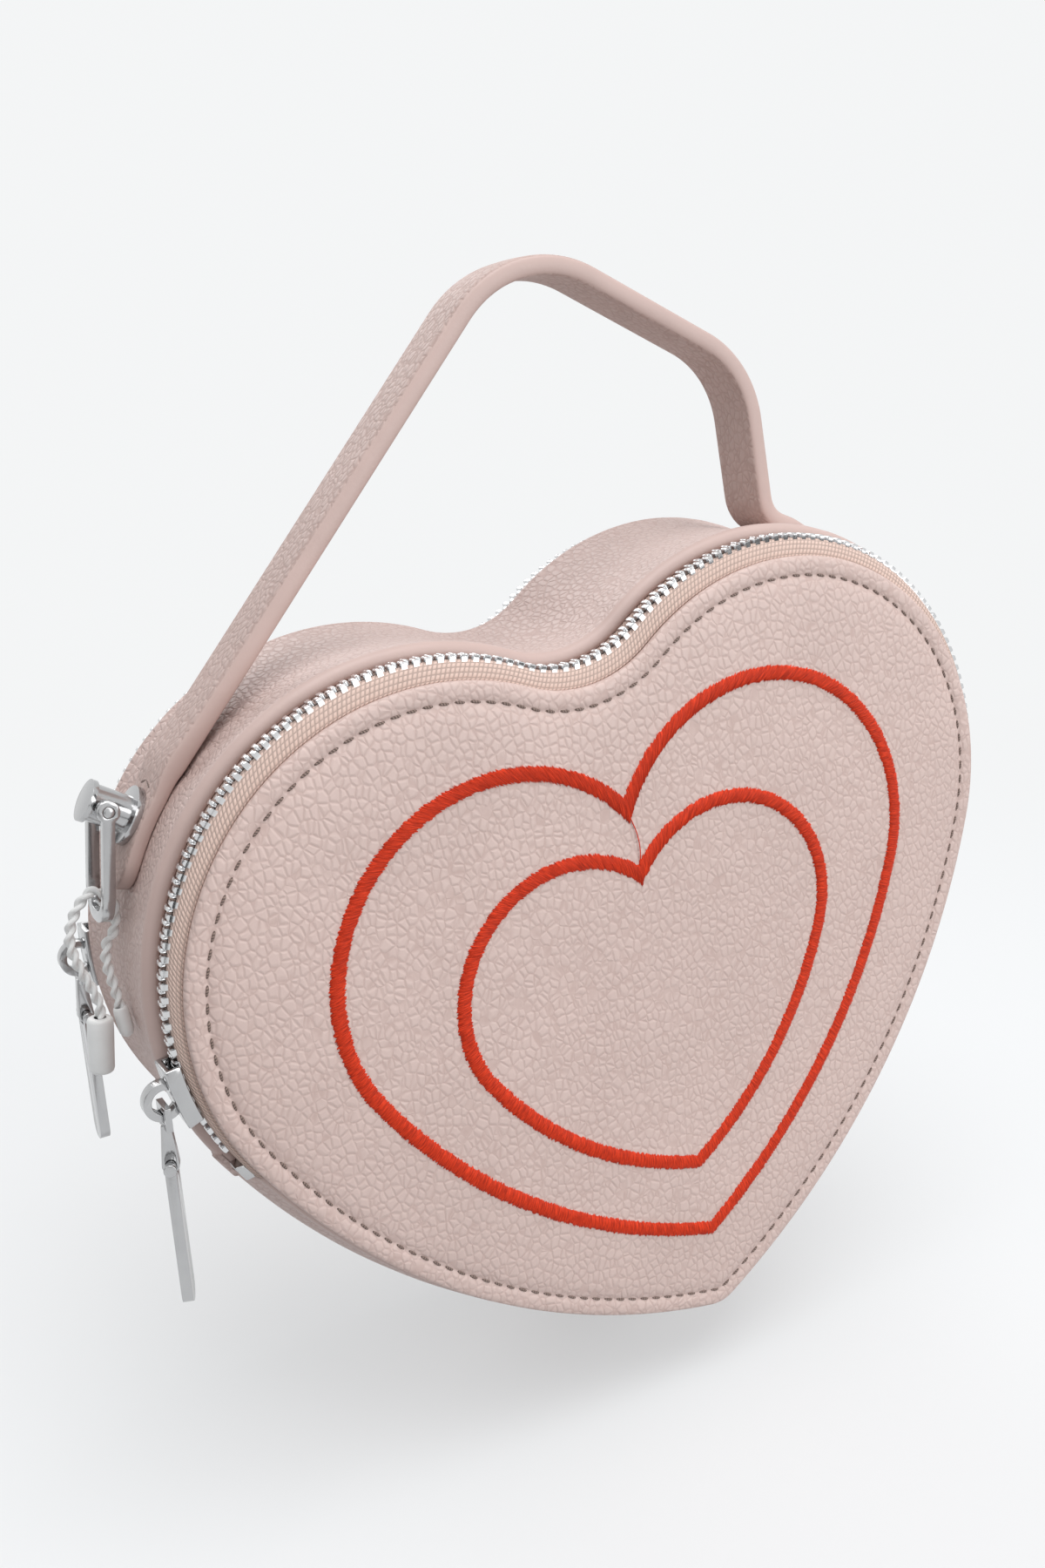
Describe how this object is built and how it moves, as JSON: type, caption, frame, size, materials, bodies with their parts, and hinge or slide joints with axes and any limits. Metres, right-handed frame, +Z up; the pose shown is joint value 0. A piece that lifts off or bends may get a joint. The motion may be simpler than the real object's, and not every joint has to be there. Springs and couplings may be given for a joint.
{
  "type": "heart shaped purse",
  "caption": "Stiff heart shaped leather purse with two zipped compartments, a short top handle, shoulder-strap shackles and nested heart outlines on the front.",
  "frame": {"origin": "the grip: middle of the handle strap at its crown", "axes": "+X across the heart to its right seen from the front, the embroidered front faces -Y, +Z up towards the hand"},
  "size_m": [0.2192, 0.0598, 0.2321],
  "materials": {
    "leather": "pebbled, semi-matt, pale pink",
    "edge_leather": "pebbled strap leather with painted edges",
    "lining": "plain woven lining",
    "board": "stiff padding board",
    "tape": "woven zip tape",
    "thread": "sewing thread",
    "embroidery": "satin-stitched red thread",
    "metal": "polished nickel plating",
    "cord": "twisted white cord",
    "plastic": "white moulded plastic"
  },
  "bodies": {
    "handle": {"handle_strap": "edge_leather"},
    "front_flap": {"front_panel": "leather", "front_padding": "board", "front_lining": "lining", "front_stitching": "thread", "embroidery_outer": "embroidery", "embroidery_inner": "embroidery", "front_tape": "tape", "front_teeth": "metal"},
    "back_flap": {"back_panel": "leather", "back_padding": "board", "back_lining": "lining", "back_stitching": "thread", "back_tape": "tape", "back_teeth": "metal"},
    "front_slider_body": {"front_slider": "metal", "front_bail": "metal"},
    "back_slider_body": {"back_slider": "metal", "back_bail": "metal"},
    "front_link_body": {"front_link": "metal", "front_rivet": "metal"},
    "back_link_body": {"back_link": "metal", "back_rivet": "metal"},
    "front_pull_body": {"front_pull": "metal"},
    "back_pull_body": {"back_pull": "metal"},
    "left_shackle_body": {"left_shackle": "metal", "left_pin": "metal", "tag_cord": "cord", "tag_barrel": "plastic", "tag_plug": "plastic"},
    "right_shackle_body": {"right_shackle": "metal", "right_pin": "metal"},
    "case": {"left_tab": "edge_leather", "right_tab": "edge_leather", "tab_stitches": "thread", "gusset_band": "leather", "gusset_lining": "lining", "base_gusset": "leather", "divider": "lining", "front_foot": "leather", "front_foot_padding": "board", "front_foot_lining": "lining", "back_foot": "leather", "back_foot_padding": "board", "back_foot_lining": "lining", "foot_stitching": "thread", "foot_embroidery_outer": "embroidery", "foot_embroidery_inner": "embroidery", "front_body_tape": "tape", "front_body_teeth": "metal", "back_body_tape": "tape", "back_body_teeth": "metal", "foot_tapes": "tape", "foot_teeth": "metal", "zip_stops": "metal", "left_post": "metal", "right_post": "metal"}
  },
  "joints": [
    {"name": "handle_tip", "type": "hinge", "parent": "handle", "child": "case", "pos_m": [0, 0, -0.05804], "axis": [1, 0, 0], "range_deg": [-55, 55]},
    {"name": "front_fold", "type": "hinge", "parent": "case", "child": "front_flap", "pos_m": [0, -0.0295, -0.14501], "axis": [1, 0, 0], "range_deg": [0, 80]},
    {"name": "back_fold", "type": "hinge", "parent": "case", "child": "back_flap", "pos_m": [0, 0.0295, -0.14501], "axis": [-1, 0, 0], "range_deg": [0, 80]},
    {"name": "front_zip", "type": "hinge", "parent": "case", "child": "front_slider_body", "pos_m": [-0.05805, -0.0246, -0.11804], "axis": [0, 1, 0], "range_deg": [0, 118]},
    {"name": "back_zip", "type": "hinge", "parent": "case", "child": "back_slider_body", "pos_m": [-0.05805, 0.0246, -0.11804], "axis": [0, 1, 0], "range_deg": [0, 106]},
    {"name": "front_link_swing", "type": "hinge", "parent": "front_slider_body", "child": "front_link_body", "pos_m": [-0.11822, -0.0246, -0.1233], "axis": [0, 1, 0], "range_deg": [-14, 80]},
    {"name": "back_link_swing", "type": "hinge", "parent": "back_slider_body", "child": "back_link_body", "pos_m": [-0.118, 0.0246, -0.11068], "axis": [0, 1, 0], "range_deg": [-2, 100]},
    {"name": "front_pull_swing", "type": "hinge", "parent": "front_link_body", "child": "front_pull_body", "pos_m": [-0.12039, -0.0246, -0.13561], "axis": [0.3368, 0.9397, -0.0594], "range_deg": [-15, 40]},
    {"name": "back_pull_swing", "type": "hinge", "parent": "back_link_body", "child": "back_pull_body", "pos_m": [-0.12017, 0.0246, -0.12299], "axis": [0, 1, 0], "range_deg": [-15, 60]},
    {"name": "left_shackle_swing", "type": "hinge", "parent": "case", "child": "left_shackle_body", "pos_m": [-0.1082, 0, -0.07504], "axis": [0, 1, 0], "range_deg": [0, 168]},
    {"name": "right_shackle_swing", "type": "hinge", "parent": "case", "child": "right_shackle_body", "pos_m": [0.08807, 0, -0.09557], "axis": [0, -1, 0], "range_deg": [0, 150]}
  ]
}
